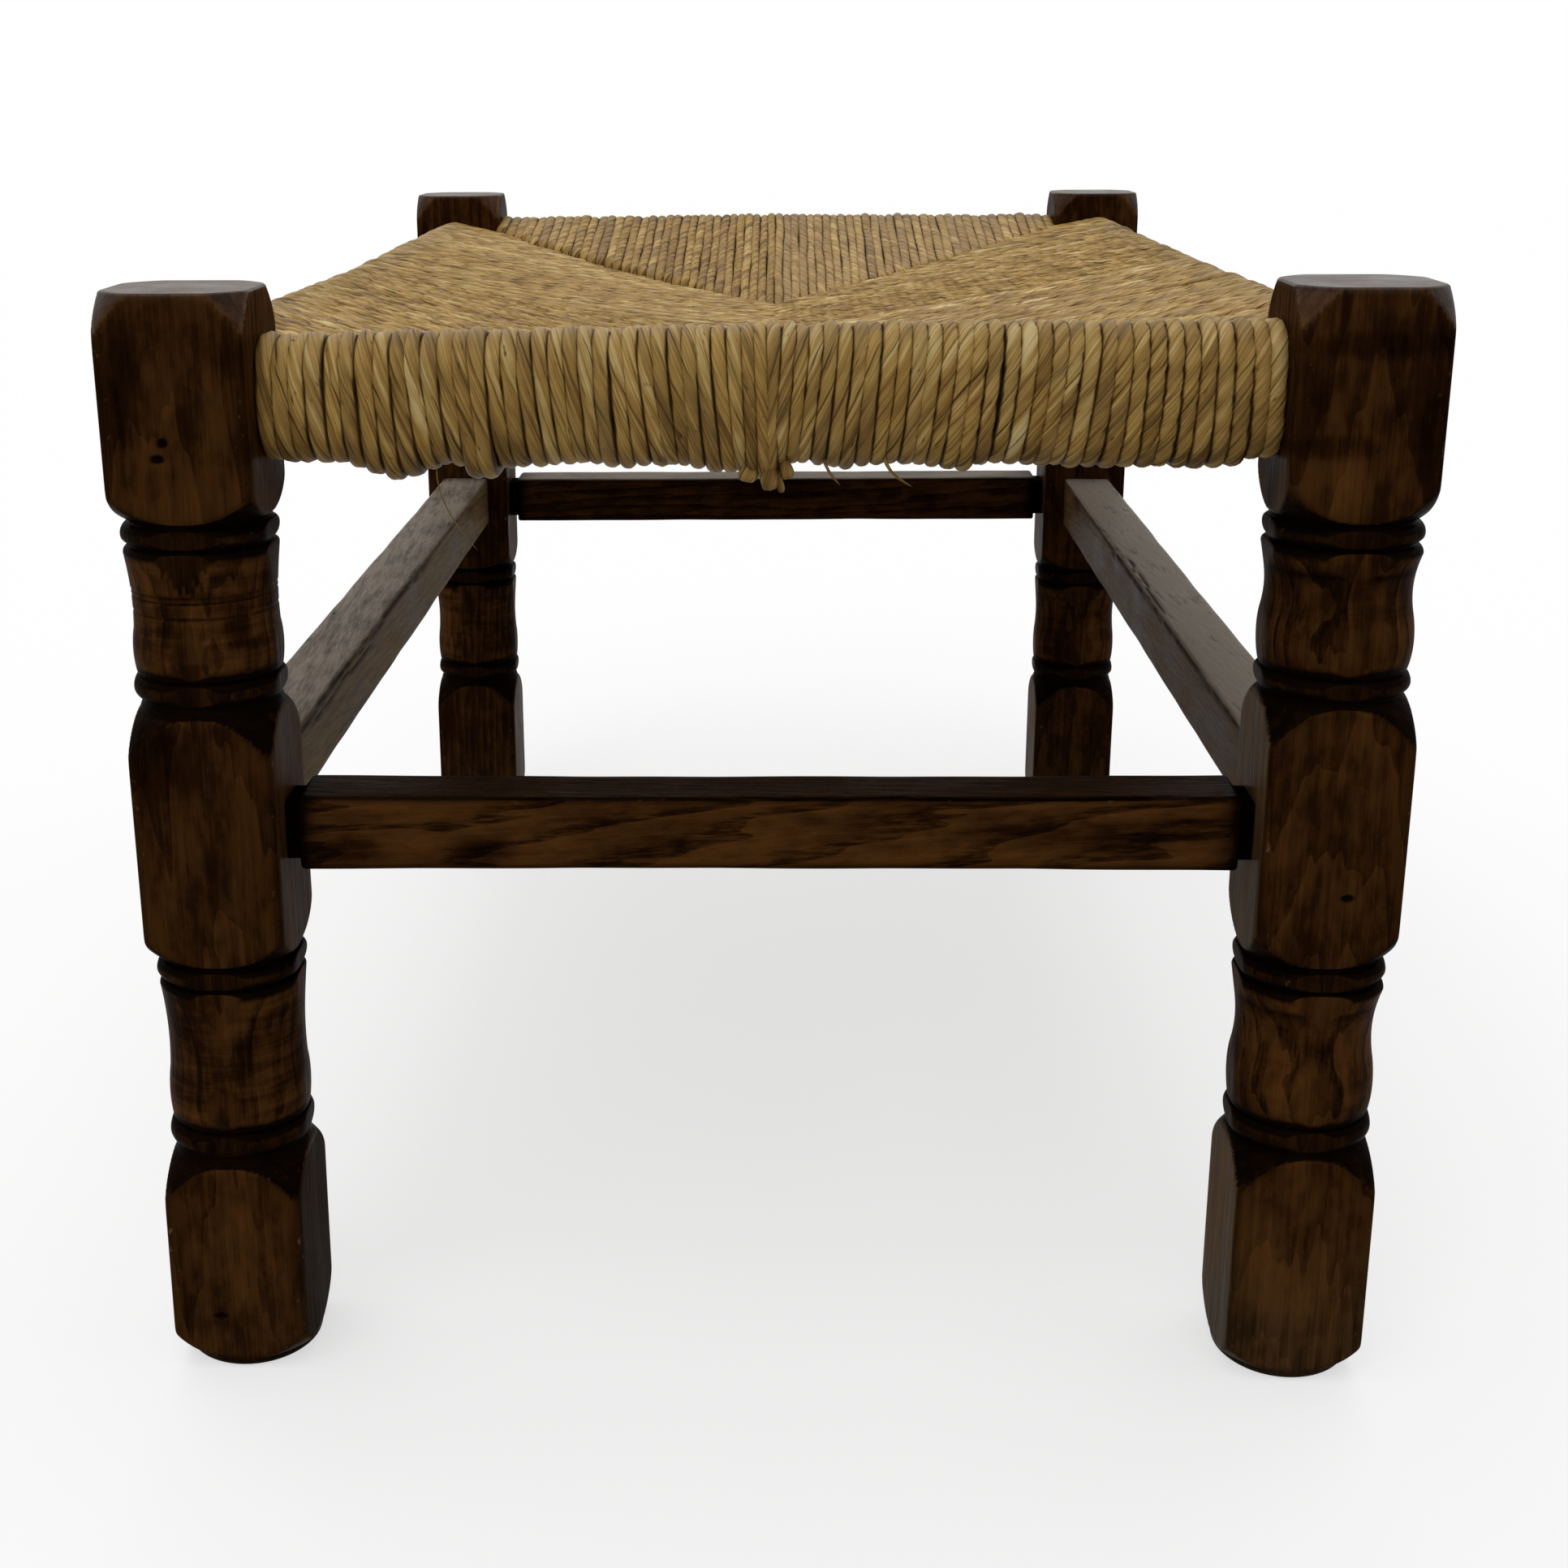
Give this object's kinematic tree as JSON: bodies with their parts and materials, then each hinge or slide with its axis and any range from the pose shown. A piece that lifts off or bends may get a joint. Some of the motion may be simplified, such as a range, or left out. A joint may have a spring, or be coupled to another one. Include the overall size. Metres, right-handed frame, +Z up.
{
  "type": "rush-seated stool",
  "caption": "Low oblong stool with turned block-and-bead oak legs, plain stretchers and an envelope-patterned seat of twisted rush, for sitting on or resting feet.",
  "frame": {"origin": "on the floor, under the middle of the seat", "axes": "+Z up, +Y along the seat from the front end to the back end, +X to the right seen from the front"},
  "size_m": [0.333, 0.522, 0.3],
  "materials": {
    "oak": "dark stain under a worn satin varnish",
    "rail_wood": "bare, left rough under the rush",
    "rush": "twisted by hand, dry, with a slight sheen",
    "rush_packing": "loose dry stalks"
  },
  "bodies": {
    "root": {"front_left_leg": "oak", "front_right_leg": "oak", "back_right_leg": "oak", "back_left_leg": "oak", "front_stretcher": "oak", "right_stretcher": "oak", "back_stretcher": "oak", "left_stretcher": "oak", "front_seat_rail": "rail_wood", "right_seat_rail": "rail_wood", "back_seat_rail": "rail_wood", "left_seat_rail": "rail_wood", "front_rush_panel": "rush", "right_rush_panel": "rush", "back_rush_panel": "rush", "left_rush_panel": "rush", "front_rush_packing": "rush_packing", "right_rush_packing": "rush_packing", "back_rush_packing": "rush_packing", "left_rush_packing": "rush_packing"}
  },
  "joints": []
}
